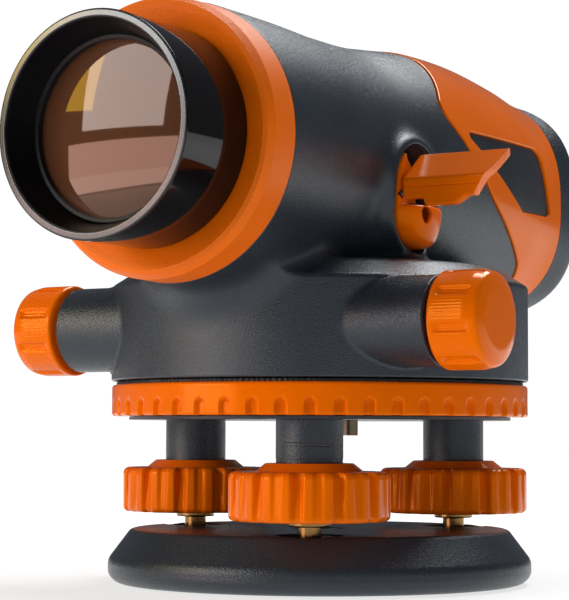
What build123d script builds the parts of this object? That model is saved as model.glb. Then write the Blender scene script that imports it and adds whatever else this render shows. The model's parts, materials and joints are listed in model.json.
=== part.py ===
from build123d import *
import math
import os

# Automatic level: a self-levelling surveyor's telescope on a three-screw tribrach.
# Millimetres. The origin is the centre of the base plate's underside, on the vertical axis.
# +Z is up, -Y is where the objective looks, and the circular vial with its mirror is on +X.

# ---- driving dimensions ----------------------------------------------------------------------
AXIS_H = 108.6  # height of the line of sight
CIRCLE_R = 55.0  # horizontal circle ring
CIRCLE_Z = (43.4, 51.6)
BASE_R = 55.8
BASE_H = 14.0
THREAD_R = 6.75  # wall of the 5/8 inch tripod thread
PITCH_CIRCLE = 41.0  # foot screws, from the vertical axis
FOOT_TURN = 27.0  # azimuth of the first foot screw, from -Y towards +X
BALL_H = 6.0  # height of the foot screws' ball centres
BALL_R = 5.0
KNOB_R = 20.2
KNOB_Z = (17.6, 29.7)
BOSS_R = 8.24
TRIBRACH_Z = (42.5, 51.0)
PIVOT_R = 12.0  # vertical axis
RUN = 0.05  # radial clearance of a running fit
GAP = 0.3  # clearance between parts that pass each other
SKIRT_R = 55.2  # lower housing
SKIRT_Z = (52.6, 77.4)
WALL = 3.2
TUBE_R = 34.0  # front of the telescope
BORE_R = 30.5
FRONT_Y = -69.0
SEAM_Y = 74.0  # rear cover to end cap
WHEEL_TEETH = 96
WHEEL_R = 29.0  # pitch radius of the worm wheel
WORM_R = 4.6  # pitch radius of the worm
TANGENT_H = 66.1
TANGENT_Y = -(WHEEL_R + WORM_R)
TANGENT_R = 11.1  # tubes round the tangent screw
TANGENT_KNOB_X = (54.3, 69.0)
BUSH_END = 45.5  # inner end of the bushes in those tubes
BUSH_BORE = 8.5
SHAFT_R = 3.0  # tangent screw and focusing shaft
RACK_R = 3.0  # pitch radius of the focusing pinion
PINION_TEETH = 12
FOCUS_Y = 12.0
MIRROR_Y = -12.5  # middle of the vial bracket
MIRROR_Z = 98.5
HINGE = (-20.7, 99.0)  # mirror hinge pin, y and z


# ---- helpers ---------------------------------------------------------------------------------
def turned(points):
    """Solid of revolution about Z from (radius, z) corners."""
    face = make_face(Polyline(*[(r, 0, z) for r, z in points], close=True))
    return revolve(face, Axis.Z, 360)


def tube(r_out, r_in, low, high):
    return turned([(r_in, low), (r_out, low), (r_out, high), (r_in, high)])


def rod(radius, low, high):
    return Pos(0, 0, (low + high) / 2) * Cylinder(radius, high - low)


def block(low, high):
    """Box between two corners."""
    size = [b - a for a, b in zip(low, high)]
    middle = [(a + b) / 2 for a, b in zip(low, high)]
    return Pos(*middle) * Box(*size)


def optic(shape):
    """Local Z becomes +Y, on the line of sight."""
    return Pos(0, 0, AXIS_H) * Rot(X=-90) * shape


def across(shape, y, z):
    """Local Z becomes +X, on the line through (y, z)."""
    return Pos(0, y, z) * Rot(Y=90) * shape


def prism_x(points, low, high):
    """Outline in (y, z), extruded along X."""
    face = make_face(Polyline(*[(low, y, z) for y, z in points], close=True))
    return extrude(face, high - low, dir=(1, 0, 0))


def slot_x(y, z, width, height, low, high):
    """Upright obround with its axis along X."""
    r = width / 2
    arm = height / 2 - r
    solid = block((low, y - r, z - arm), (high, y + r, z + arm))
    for side in (-arm, arm):
        solid += across(rod(r, low, high), y, z + side)
    return solid


def feet(count=3, offset=0.0):
    """Azimuths of the foot screws, as angles from +X."""
    return [FOOT_TURN - 90 + offset + i * 360 / count for i in range(count)]


def around(angle, radius):
    a = math.radians(angle)
    return radius * math.cos(a), radius * math.sin(a)


def at(angle, radius, shape):
    x, y = around(angle, radius)
    return Pos(x, y, 0) * shape


def lens(radius, edge, sag):
    """Lens about Z: edge is its rim's low and high z, sag how far each face's centre stands along Z."""
    halfway = []
    for side, depth in zip(edge, sag):
        curve = (radius**2 + depth**2) / (2 * depth)
        drop = curve - math.copysign(math.sqrt(curve**2 - (radius / 2) ** 2), curve)
        halfway.append((radius / 2, 0, side + depth - drop))
    low, high = edge
    rim = Line((radius, 0, low), (radius, 0, high))
    front = ThreePointArc((0, 0, low + sag[0]), halfway[0], (radius, 0, low))
    back = ThreePointArc((radius, 0, high), halfway[1], (0, 0, high + sag[1]))
    axis = Line((0, 0, high + sag[1]), (0, 0, low + sag[0]))
    return revolve(make_face([front, rim, back, axis]), Axis.Z, 360)


def cap_screw(head_r, head, shank_r, shank):
    """Socket screw pointing up: its head's low and high z, then the shank up to its end."""
    solid = rod(head_r, *head) + rod(shank_r, head[1], shank)
    socket = extrude(Pos(0, 0, head[0]) * RegularPolygon(head_r * 0.5, 6), (head[1] - head[0]) * 0.6)
    return solid - socket


def gear_outline(teeth, pitch_r, tip, root, thickness, phase):
    """Straight-flanked gear outline; phase is the angle of a tooth's middle in degrees."""
    corners = []
    step = 360 / teeth
    circular = 2 * math.pi * pitch_r / teeth
    slope = math.tan(math.radians(20))
    for k in range(teeth):
        middle = phase + k * step
        for r, side in ((root, -1), (tip, -1), (tip, 1), (root, 1)):
            half = circular * thickness / 2 + (pitch_r - r) * slope
            corners.append(around(middle + side * math.degrees(half / r), r))
    return make_face(Polyline(*corners, close=True))


# ---- base ------------------------------------------------------------------------------------
SPRING_Z = (2.0, 3.2)
POST_AT = 26.0


def base_plate():
    plate = turned([
        (THREAD_R, 0), (15, 0), (15, 8), (50, 8), (50, 0), (BASE_R - 2.5, 0), (BASE_R, 2.5),
        (BASE_R, 6), (BASE_R - 6, BASE_H), (THREAD_R, BASE_H),
    ])
    rims = plate.edges().filter_by(GeomType.CIRCLE)
    soft = [e for e in rims if e.radius > 49.5 and e.center().Z > 5]
    plate = fillet(soft, 1.2)
    for angle in feet():
        plate += at(angle, PITCH_CIRCLE, rod(8.5, SPRING_Z[1] + 0.2, 9))
        plate += at(angle, POST_AT, rod(4, SPRING_Z[1], 9))
    for angle in feet():
        plate -= at(angle, PITCH_CIRCLE, Pos(0, 0, BALL_H) * Sphere(BALL_R + GAP))
        plate -= at(angle, PITCH_CIRCLE, rod(BALL_R + GAP, 0, BALL_H))
        plate -= at(angle, PITCH_CIRCLE, rod(4.6, BALL_H, BASE_H + 1))
        plate -= at(angle, PITCH_CIRCLE, rod(11, BASE_H - 1.4, BASE_H + 1))
        plate -= at(angle, POST_AT, rod(1.5, 0, 8))
    return plate


def spring_plate():
    """Leaf under the base plate that holds the three balls up in their seats."""
    plate = tube(49, 16, *SPRING_Z)
    for angle in feet(offset=60):
        plate -= at(angle, 48, rod(24, 0, 5))
    for angle in feet():
        plate -= at(angle, PITCH_CIRCLE, rod(4.5, 0, 5))
        plate -= at(angle, POST_AT, rod(1.5, 0, 5))
    return plate


def spring_plate_screws():
    return [at(a, POST_AT, cap_screw(2.7, (0.6, SPRING_Z[0]), 1.5, 7.9)) for a in feet()]


# ---- foot screws -----------------------------------------------------------------------------
COLLAR_TOP = 31.7
COUNTERBORE = (8.6, 23.4)  # takes the tribrach's boss
STEM_R = 2.8
THREAD_STEM_R = 3.6
KNOB_BORE = 4.0
FLUTES = 12


def foot_ball():
    """Split ball that the foot screw turns in."""
    ball = Pos(0, 0, BALL_H) * Sphere(BALL_R)
    ball &= rod(BALL_R + 1, BALL_H - 3.8, BALL_H + 4)
    ball -= rod(2.55, 0, 12)
    return ball - block((0, -0.3, 0), (6, 0.3, 12))


def foot_screw():
    """Brass spindle: clip, neck in the ball, washer under the knob, thread in the tribrach's bush."""
    return turned([
        (0, 1.4), (2.2, 1.4), (2.5, 1.6), (3.2, 1.6), (3.2, 2.1), (2.5, 2.1), (2.5, 10.1), (STEM_R, 10.1),
        (STEM_R, 16.2), (5.2, 16.2), (5.2, KNOB_Z[0]), (KNOB_BORE, KNOB_Z[0]), (KNOB_BORE, 23.2),
        (THREAD_STEM_R, 23.2), (THREAD_STEM_R, 45.2), (2.8, 46.0), (0, 46.0),
    ])


def foot_knob():
    low, high = KNOB_Z
    knob = turned([
        (KNOB_BORE, low), (17.5, low), (KNOB_R - 0.6, low + 1.2), (KNOB_R, low + 3),
        (KNOB_R - 0.2, high - 1.6), (KNOB_R - 1.4, high - 0.3), (13.4, high), (10.9, COLLAR_TOP),
        (COUNTERBORE[0], COLLAR_TOP), COUNTERBORE, (KNOB_BORE, COUNTERBORE[1]),
    ])
    for k in range(FLUTES):
        knob -= at(k * 360 / FLUTES, KNOB_R + 3.2, rod(4.6, low - 1, high + 1))
    return knob


# ---- tribrach --------------------------------------------------------------------------------
BOSS_LOW = 26.0
BUSH_R = 5.0
SPIGOT_R = 7.0
AXIS_SCREW_AT = 9.8
AXIS_SCREW_FIRST = -6.0
THRUST = (15.0, 52.5)
NOSE = (9.0, 75.4)


def tribrach():
    low, high = TRIBRACH_Z
    body = turned([
        (SPIGOT_R, low), (50.5, low), (50.5, low + 0.75), (47, low + 0.75), (47, high), (SPIGOT_R, high),
    ])
    for angle in feet():
        body += at(angle, PITCH_CIRCLE, rod(BOSS_R, BOSS_LOW, low + 0.5))
    for angle in feet():
        body -= at(angle, PITCH_CIRCLE, rod(BUSH_R, BOSS_LOW - 1, 44))
        body -= at(angle, PITCH_CIRCLE, rod(4.2, 40, 49.6))
    for k in range(3):
        body -= at(AXIS_SCREW_FIRST + k * 120, AXIS_SCREW_AT, rod(1.5, low - 1, high + 1))
    return body


def foot_bushes():
    return [at(a, PITCH_CIRCLE, tube(BUSH_R, THREAD_STEM_R + 0.08, BOSS_LOW + 1, 44)) for a in feet()]


def vertical_axis():
    body = turned([
        (0, 44), (SPIGOT_R, 44), (SPIGOT_R, TRIBRACH_Z[1]), (THRUST[0], TRIBRACH_Z[1]), THRUST,
        (PIVOT_R, THRUST[1]), (PIVOT_R, 71.4), (NOSE[0], 71.4), NOSE, (0, NOSE[1]),
    ])
    for k in range(3):
        body -= at(AXIS_SCREW_FIRST + k * 120, AXIS_SCREW_AT, rod(1.5, 50, 58))
    return body


def axis_screws():
    """Socket screws that hang under the tribrach and pull the vertical axis down."""
    low = TRIBRACH_Z[0]
    screw = cap_screw(2.2, (low - 4, low), 1.5, 57.8)
    return [at(AXIS_SCREW_FIRST + k * 120, AXIS_SCREW_AT, screw) for k in range(3)]


def axis_nut():
    nut = tube(13.5, NOSE[0], 71.5, 75.2)
    for k in range(2):
        nut -= Rot(Z=90 * k) * block((-20, -1.2, 74), (20, 1.2, 80))
    return nut


# ---- horizontal circle -----------------------------------------------------------------------
NOTCHES = 48
RING_IN = 47.3
SCALE_Z = (CIRCLE_Z[1], 52.3)


def circle_ring():
    low, high = CIRCLE_Z
    ring = turned([
        (RING_IN, low), (CIRCLE_R - 0.5, low), (CIRCLE_R, low + 0.5), (CIRCLE_R, high - 0.5),
        (CIRCLE_R - 0.5, high), (RING_IN, high),
    ])
    notch = Pos(0, 0, low + 2.7) * Rot(Y=90) * Cylinder(1.3, 2.4)
    notch += block((-1.2, -1.3, low - 1), (1.2, 1.3, low + 2.7))
    for k in range(NOTCHES):
        ring -= Rot(Z=k * 360 / NOTCHES) * Pos(CIRCLE_R + 0.3, 0, 0) * notch
    return ring


def circle_scale():
    """Thin engraved band on top of the ring, read under the skirt's edge."""
    return tube(CIRCLE_R - 1.2, 50.5, *SCALE_Z)


# ---- azimuth drive ---------------------------------------------------------------------------
WHEEL_Z = (64.1, 68.1)
WHEEL_HUB = (17.0, 62.2, 70.2)
TOOTH_SHARE = 0.35
TOOTH_UP = 0.5
TOOTH_DOWN = 0.7
WORM_TURNS = 6


def worm_wheel():
    step = 360 / WHEEL_TEETH
    outline = gear_outline(
        WHEEL_TEETH, WHEEL_R, WHEEL_R + TOOTH_UP, WHEEL_R - TOOTH_DOWN, TOOTH_SHARE, -90 + step / 2
    )
    wheel = extrude(Pos(0, 0, WHEEL_Z[0]) * outline, WHEEL_Z[1] - WHEEL_Z[0])
    wheel += rod(WHEEL_HUB[0], WHEEL_HUB[1], WHEEL_HUB[2])
    wheel -= rod(PIVOT_R + RUN, 60, 72)
    for k in range(6):
        wheel -= at(30 + k * 60, 22.5, rod(3.2, 60, 72))
    return wheel


def clutch_spring():
    """Dished washer that presses the wheel's hub down, so the telescope can be swung by hand."""
    return turned([(12.4, 70.3), (12.4, 70.7), (15.4, 71.3), (15.4, 70.9)])


def tangent_shaft():
    """Worm and shaft; local Z is +X and local X is +Y, towards the wheel."""
    pitch = 2 * math.pi * WHEEL_R / WHEEL_TEETH
    half = pitch * TOOTH_SHARE / 2
    slope = math.tan(math.radians(20))
    root = WORM_R - TOOTH_DOWN
    tip = WORM_R + TOOTH_UP
    low = -pitch * WORM_TURNS / 2
    bottom = half + (WORM_R - root + 0.15) * slope
    top = half - TOOTH_UP * slope
    section = make_face(Polyline(
        (root - 0.15, 0, low - bottom), (tip, 0, low - top),
        (tip, 0, low + top), (root - 0.15, 0, low + bottom), close=True,
    ))
    path = Pos(0, 0, low) * Helix(pitch, pitch * WORM_TURNS, root)
    shaft = rod(root, low - 2, -low + 2) + sweep(section, path=path, is_frenet=True)
    shaft += rod(SHAFT_R, -TANGENT_KNOB_X[1] + 3, TANGENT_KNOB_X[1] - 3)
    return Plane(origin=(0, TANGENT_Y, TANGENT_H), x_dir=(0, 1, 0), z_dir=(1, 0, 0)) * shaft


def tangent_knob(side):
    """Ribbed knob with long finger grooves and a domed end."""
    low, high = TANGENT_KNOB_X
    radius = 12.0
    knob = turned([
        (SHAFT_R, low), (radius - 0.8, low), (radius, low + 0.8), (radius, high - 3.4),
        (radius - 1.4, high - 1.2), (radius - 4.5, high - 0.2), (0, high), (0, high - 3),
        (SHAFT_R, high - 3),
    ])
    for k in range(8):
        knob -= at(k * 45, radius + 0.8, rod(1.5, low + 2.2, high - 4))
    return across(knob if side > 0 else Rot(X=180) * knob, TANGENT_Y, TANGENT_H)


# ---- housing ---------------------------------------------------------------------------------
REAR = ((-30.0, 74.0, 70.0, 110.0, 26.0), (SEAM_Y, 72.0, 63.0, 107.5, 25.0))  # y, width, height, z, corner
FOCUS_BOSS = (17.0, -42.0)
BRACKET_SIZE = (20.0, 26.0)
BRACKET_X = (27.2, 42.0)
COVER_EDGE = [(24, 160), (24, 145), (6, 122), (58, 84), (60, 82), (SEAM_Y + 5, 82), (SEAM_Y + 5, 160)]
LABEL_EDGE = [(20, 118), (60, 118), (64, 103), (62, 102), (48, 102)]
LABEL_X = 35.2


def rear_form(inset):
    """Lofted telescope body behind the front tube."""
    faces = []
    for y, width, height, z, corner in REAR:
        plane = Plane(origin=(0, y, z), x_dir=(1, 0, 0), z_dir=(0, 1, 0))
        faces.append(plane * RectangleRounded(width - 2 * inset, height - 2 * inset, corner - inset))
    return loft(faces)


def outer_form():
    form = optic(rod(TUBE_R, FRONT_Y, 0)) + rear_form(0)
    form += turned([
        (0, SKIRT_Z[0]), (SKIRT_R, SKIRT_Z[0]), (SKIRT_R, SKIRT_Z[1]), (48, 82), (0, 82),
    ])
    form += across(rod(TANGENT_R, -54, 54), TANGENT_Y, TANGENT_H)
    form += across(rod(FOCUS_BOSS[0], FOCUS_BOSS[1], -30), FOCUS_Y, AXIS_H)
    return form


def inner_form():
    """Telescope bore, rear chamber, skirt chamber and the tangent screw's tubes."""
    hollow = optic(rod(BORE_R, FRONT_Y - 1, 0)) + rear_form(WALL + 0.3)
    hollow += rod(SKIRT_R - WALL, SKIRT_Z[0] - 1, 76)
    hollow += across(rod(6, -56, 56), TANGENT_Y, TANGENT_H)
    for side in (-1, 1):
        low, high = sorted((side * BUSH_END, side * 56))
        hollow += across(rod(BUSH_BORE, low, high), TANGENT_Y, TANGENT_H)
    hollow += across(rod(6, FOCUS_BOSS[1] - 1, -30), FOCUS_Y, AXIS_H)
    return hollow


def shell():
    pad = slot_x(MIRROR_Y, MIRROR_Z, BRACKET_SIZE[0] + 5, BRACKET_SIZE[1] + 5, BRACKET_X[0] - WALL, 36)
    body = outer_form() - inner_form() + (pad & rear_form(0.5))
    return body - slot_x(MIRROR_Y, MIRROR_Z, BRACKET_SIZE[0] + 1, BRACKET_SIZE[1] + 1, BRACKET_X[0], 45)


def cover_zone():
    """Space of the rear cover: everything behind its chevron edge, but not the focusing boss."""
    return prism_x(COVER_EDGE, -60, 60) - across(rod(FOCUS_BOSS[0] + 0.6, -60, -30), FOCUS_Y, AXIS_H)


def housing(whole):
    """Main casting, with the open sight's rib along its top."""
    return whole - cover_zone() + block((-1.2, -8, 142), (1.2, 18, 145.4))


def rear_cover(whole):
    cover = whole & cover_zone()
    for side in (-1, 1):
        low, high = sorted((side * LABEL_X, side * 45))
        cover -= prism_x(LABEL_EDGE, low, high)
    return cover


def label_panels():
    """Blank plates let into both sides of the rear cover, cut round the focusing boss."""
    sides = [sorted((side * LABEL_X, side * (LABEL_X + 0.7))) for side in (-1, 1)]
    clear = across(rod(FOCUS_BOSS[0] + 0.6, -60, -30), FOCUS_Y, AXIS_H)
    return [prism_x(LABEL_EDGE, *ends) - clear for ends in sides]


CAP_END = 91.0
EYE_BOSS = (18.0, 96.0)
EYE_TUBE = (13.0, 10.6)


def end_cap():
    y, width, height, z, corner = REAR[1]
    planes = [Plane(origin=(0, at_y, z), x_dir=(1, 0, 0), z_dir=(0, 1, 0)) for at_y in (y, y + 8, CAP_END)]
    sizes = ((0, corner), (1, corner), (12, corner - 4))
    outer = loft([
        p * RectangleRounded(width - 2 * s, height - 2 * s, c - s / 2)
        for p, (s, c) in zip(planes, sizes)
    ])
    inner = loft([
        p * RectangleRounded(width - 2 * s - 6, height - 2 * s - 6, c - s / 2 - 3)
        for p, (s, c) in zip(planes[:2], sizes[:2])
    ])
    cap = outer + optic(rod(EYE_BOSS[0], CAP_END - 1, EYE_BOSS[1])) - inner
    cap -= optic(rod(EYE_TUBE[0], 60, 100))
    for x, z_at in cap_corners():
        cap -= Pos(x, 0, z_at) * Rot(X=-90) * rod(1.5, 80, 100)
    return cap


def cap_corners():
    return [(sx * 17.5, REAR[1][3] + sz * 13) for sx in (-1, 1) for sz in (-1, 1)]


def cap_screws():
    """Pan-head screws in the end cap's rear face, pointing forwards."""
    screw = cap_screw(2.7, (-CAP_END - 1.6, -CAP_END), 1.5, -82.5)
    return [Pos(x, 0, z_at) * Rot(X=90) * screw for x, z_at in cap_corners()]


def bearing_plate():
    rim = SKIRT_R - WALL - 0.02
    plate = turned([
        (PIVOT_R + RUN, 52.6), (18, 52.6), (20, 53), (rim, 53), (rim, 56), (20, 56), (20, 62),
        (PIVOT_R + RUN, 62),
    ])
    for k in range(4):
        plate -= at(45 + 90 * k, 48, rod(1.5, 50, 60))
    return plate


def bearing_screws():
    return [at(45 + 90 * k, 48, cap_screw(1.5, (53.0, 53.8), 1.48, 58)) for k in range(4)]


def shaft_bushes():
    """Brass bearings: one at each end of the tangent screw, one for the focusing shaft."""
    parts = []
    for side in (-1, 1):
        low, high = sorted((side * BUSH_END, side * 53.4))
        parts.append(across(tube(BUSH_BORE, SHAFT_R + RUN, low, high), TANGENT_Y, TANGENT_H))
    parts.append(across(tube(6, SHAFT_R + RUN, FOCUS_BOSS[1] + 0.3, -33), FOCUS_Y, AXIS_H))
    return parts


# ---- objective -------------------------------------------------------------------------------
BARREL_R = 26.5
MOUTH_Y = -102.7
MOUTH_R = 24.5
LENS_R = 21.4
RETAINER_Y = (-94.6, -93.35)
SEAT_END = (-79.5, 26.0)  # where the plain barrel steps down into the front ring, y and radius


def front_ring():
    inner = SEAT_END[1] + 0.1
    return optic(turned([
        (inner, FRONT_Y), (33.9, FRONT_Y), (33.6, -77), (32.5, -78.9), (31.4, -79.2), (30.6, -79.0),
        (inner, -77.6),
    ]))


def objective_barrel():
    return optic(turned([
        (MOUTH_R, MOUTH_Y), (BARREL_R - 0.3, MOUTH_Y), (BARREL_R, MOUTH_Y + 0.4), (BARREL_R, SEAT_END[0]),
        (SEAT_END[1], SEAT_END[0]), (SEAT_END[1], FRONT_Y), (BORE_R - 0.05, FRONT_Y), (BORE_R - 0.05, -63),
        (23, -63), (20, -79), (20, -82), (LENS_R + 0.05, -82), (LENS_R + 0.05, RETAINER_Y[0]),
        (LENS_R + 0.4, RETAINER_Y[0]),
    ]))


def objective_retainer():
    return optic(tube(LENS_R + 0.05, LENS_R - 0.6, *RETAINER_Y))


def objective_crown():
    return optic(lens(LENS_R, (-93.2, -90.7), (-1.9, 2.5)))


def objective_flint():
    return optic(lens(LENS_R, (-90.65, -82.2), (2.55, 0.8)))


# ---- focusing --------------------------------------------------------------------------------
GUIDE_R = (20.0, 17.4)
CELL_R = (17.34, 14.0)
RACK_X = (-24.0, -18.0)
RACK_DROP = 0.55


def focus_guide():
    guide = optic(turned([
        (GUIDE_R[1], -40), (BORE_R - 0.02, -40), (BORE_R - 0.02, -37), (GUIDE_R[0], -37), (GUIDE_R[0], 6),
        (GUIDE_R[1], 6),
    ]))
    return guide - block((-23, -28, AXIS_H - 8), (-8, 7, AXIS_H + 3))


def focus_cell():
    """Lens cell with its rack, which runs out through the guide's slot."""
    cell = optic(tube(*CELL_R, -24, -4))
    cell -= optic(rod(CELL_R[1], -30, 0))
    top = AXIS_H - RACK_R - RACK_DROP
    bar = block((RACK_X[0], -14, top - 2.2), (RACK_X[1], 25, top))
    bridge = block((RACK_X[1] - 0.5, -14, top - 2.2), (-15.2, -7, top))
    pitch = 2 * math.pi * RACK_R / PINION_TEETH
    half = pitch * 0.17
    slope = math.tan(math.radians(20))
    teeth = []
    for k in range(-10, 8):
        middle = FOCUS_Y + (k + 0.5) * pitch
        low_half = half + RACK_DROP * slope
        top_half = half - 0.4 * slope
        teeth.append(prism_x(
            [(middle - low_half, top), (middle - top_half, top + RACK_DROP + 0.4),
             (middle + top_half, top + RACK_DROP + 0.4), (middle + low_half, top)],
            *RACK_X,
        ))
    return cell + bridge + bar + teeth


def focus_lens():
    return optic(lens(CELL_R[1], (-17, -10), (1.6, -1.6)))


def focus_pinion():
    outline = gear_outline(PINION_TEETH, RACK_R, RACK_R + 0.4, RACK_R - 0.6, 0.34, 0)
    pinion = extrude(Pos(0, 0, RACK_X[0] - 0.5) * outline, RACK_X[1] - RACK_X[0] + 1)
    pinion += rod(2.0, RACK_X[0] - 1, RACK_X[1] + 1)
    pinion += rod(SHAFT_R, -56, RACK_X[0] - 1)
    return across(pinion, FOCUS_Y, AXIS_H)


def focus_knob():
    low, high = 42.6, 58.0
    radius = 15.5
    knob = turned([
        (SHAFT_R, low), (radius - 0.8, low), (radius, low + 0.8), (radius, high - 3),
        (radius - 1.2, high - 1), (radius - 4, high), (0, high), (0, high - 2), (SHAFT_R, high - 2),
    ])
    for k in range(10):
        knob -= at(k * 36, radius + 0.8, rod(1.6, low + 2.2, high - 3.6))
    return across(Rot(X=180) * knob, FOCUS_Y, AXIS_H)


# ---- compensator -----------------------------------------------------------------------------
SWING = (46.0, 126.0)  # pendulum axis, y and z
FRAME_X = 16.0
WIRE_AT = (7.0, 3.0)


def compensator_frame():
    y, z = SWING
    frame = block((-FRAME_X, 32, 80.2), (FRAME_X, 64, 83))
    frame += block((-FRAME_X, y - 6, z + 2), (FRAME_X, y + 6, z + 6))
    for side in (-1, 1):
        low, high = sorted((side * 13, side * FRAME_X))
        frame += block((low, y - 6, 82), (high, y + 6, z + 2))
    frame += block((-FRAME_X, 60, 82), (FRAME_X, 64, z + 2))
    frame -= optic(rod(8, 55, 70))
    for sx in (-1, 1):
        for sy in (-1, 1):
            frame -= Pos(sx * WIRE_AT[0], y + sy * WIRE_AT[1], 0) * rod(0.8, z, z + 4)
    return frame


def pendulum():
    """Prism cage hung on wires, with the damping blade at its foot."""
    y = SWING[0]
    cage = block((-11, y - 4.5, 99), (11, y + 4.5, 120)) - block((-8, y - 6, 101), (8, y + 6, 116))
    cage += block((-3, y - 2, 88), (3, y + 2, 99.5))
    return cage + block((-6, y - 4, 84.5), (6, y + 4, 88))


def pendulum_prism():
    y = SWING[0]
    return prism_x([(y - 4, 101), (y + 4, 101), (y + 4, 116), (y - 1, 116)], -8, 8)


def suspension_wires():
    y, z = SWING
    wires = []
    for sx in (-1, 1):
        for sy in (-1, 1):
            wires.append(Pos(sx * WIRE_AT[0], y + sy * WIRE_AT[1], 0) * rod(0.25, 120, z + 3))
    return wires


def damper_magnets():
    return [across(rod(3.5, *sorted((s * 8, s * 13))), SWING[0], 87.0) for s in (-1, 1)]


def roof_prism():
    return prism_x([(53, 101), (60, 101), (60, 117), (56, 117)], -8, 8)


# ---- eyepiece --------------------------------------------------------------------------------
def reticle_holder():
    return optic(tube(12.5, 7.5, 64, 69))


def reticle():
    return optic(rod(7.5, 66, 67.2))


def eyepiece_tube():
    return optic(turned([
        (EYE_TUBE[1], 70), (16, 70), (16, 72), (EYE_TUBE[0], 72), (EYE_TUBE[0], 104), (EYE_TUBE[1], 104),
    ]))


def eyepiece_cell():
    return optic(tube(EYE_TUBE[1] - 0.06, 8.6, 84, 106))


def eyepiece_lenses():
    return [optic(lens(8.6, (87, 89.5), (-0.4, 1.6))), optic(lens(8.6, (98, 100.5), (-1.6, 0.6)))]


def dioptre_ring():
    ring = turned([
        (EYE_TUBE[0] + RUN, 97), (15.6, 97), (16.2, 97.6), (16.2, 106), (15.4, 108.4), (11.4, 108.4),
        (11.4, 107.4), (EYE_TUBE[0] + RUN, 107.4),
    ])
    for k in range(24):
        ring -= at(k * 15, 16.6, rod(0.9, 98.4, 105.6))
    return optic(ring)


def eyecup():
    return optic(turned([
        (11.4, 108.4), (15.4, 108.4), (16.6, 113.2), (16.2, 114), (15.4, 113.8), (13.4, 110.2),
        (11.4, 109.8),
    ]))


# ---- vial and mirror -------------------------------------------------------------------------
CUP_X = 34.0  # axis of the circular vial
VIAL_R = 5.6
VIAL_Z = (90.4, 96.8)
FACE_R = 12.0  # the bracket's face is part of an upright cylinder
LUG_X = 36.2  # the hinge lug stays inside this
SIGHT_GAP = (30.5, -17.5, 97.2)  # corner of the space above the vial, which the mirror looks through


def mirror_bracket():
    """Oval holder let into the housing: vial cup below, hinge lug above."""
    width, height = BRACKET_SIZE
    body = slot_x(MIRROR_Y, MIRROR_Z, width, height, *BRACKET_X)
    body &= Pos(BRACKET_X[1] - FACE_R - 0.6, MIRROR_Y, 0) * rod(FACE_R, 80, 120)
    body -= block(SIGHT_GAP, (50, 10, 130))
    body -= block((LUG_X, -30, SIGHT_GAP[2] - 1), (50, 10, 130))
    body -= Pos(CUP_X, MIRROR_Y, 0) * rod(VIAL_R + 0.2, VIAL_Z[0], 100)
    body -= Pos(CUP_X, MIRROR_Y, 93.8) * Rot(Z=-29) * Rot(Y=90) * rod(2.0, 0, 12)
    return body - across(rod(1.0, 30, 45), *HINGE)


def circular_vial():
    return Pos(CUP_X, MIRROR_Y, 0) * rod(VIAL_R, *VIAL_Z)


def mirror_pin():
    return across(rod(1.0, 30.4, 58), *HINGE)


FLAP_X = (LUG_X + 0.9, 62.0)  # swings clear of the raised rim round the bracket
FLAP_OUTER = [(-22.2, 97.4), (-22.4, 102.4), (-12.6, 109.7), (-11.3, 108.1), (-19.0, 101.2), (-19.2, 97.4)]


def mirror_flap():
    y, z = HINGE
    flap = prism_x(FLAP_OUTER, *FLAP_X)
    return flap - across(rod(1.0 + RUN + 0.01, 30, 58.5), y, z)


def mirror_glass():
    """Plate under the flap's slope, facing down and back."""
    (y0, z0), (y1, z1) = FLAP_OUTER[4], FLAP_OUTER[3]
    length = math.hypot(y1 - y0, z1 - z0)
    ny, nz = (z1 - z0) / length, -(y1 - y0) / length
    outline = [(y0 + share * (y1 - y0), z0 + share * (z1 - z0)) for share in (0.06, 0.94)]
    outline += [(y + 0.9 * ny, z + 0.9 * nz) for y, z in reversed(outline)]
    return prism_x(outline, FLAP_X[0] + 1.5, FLAP_X[1] - 2)


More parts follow.
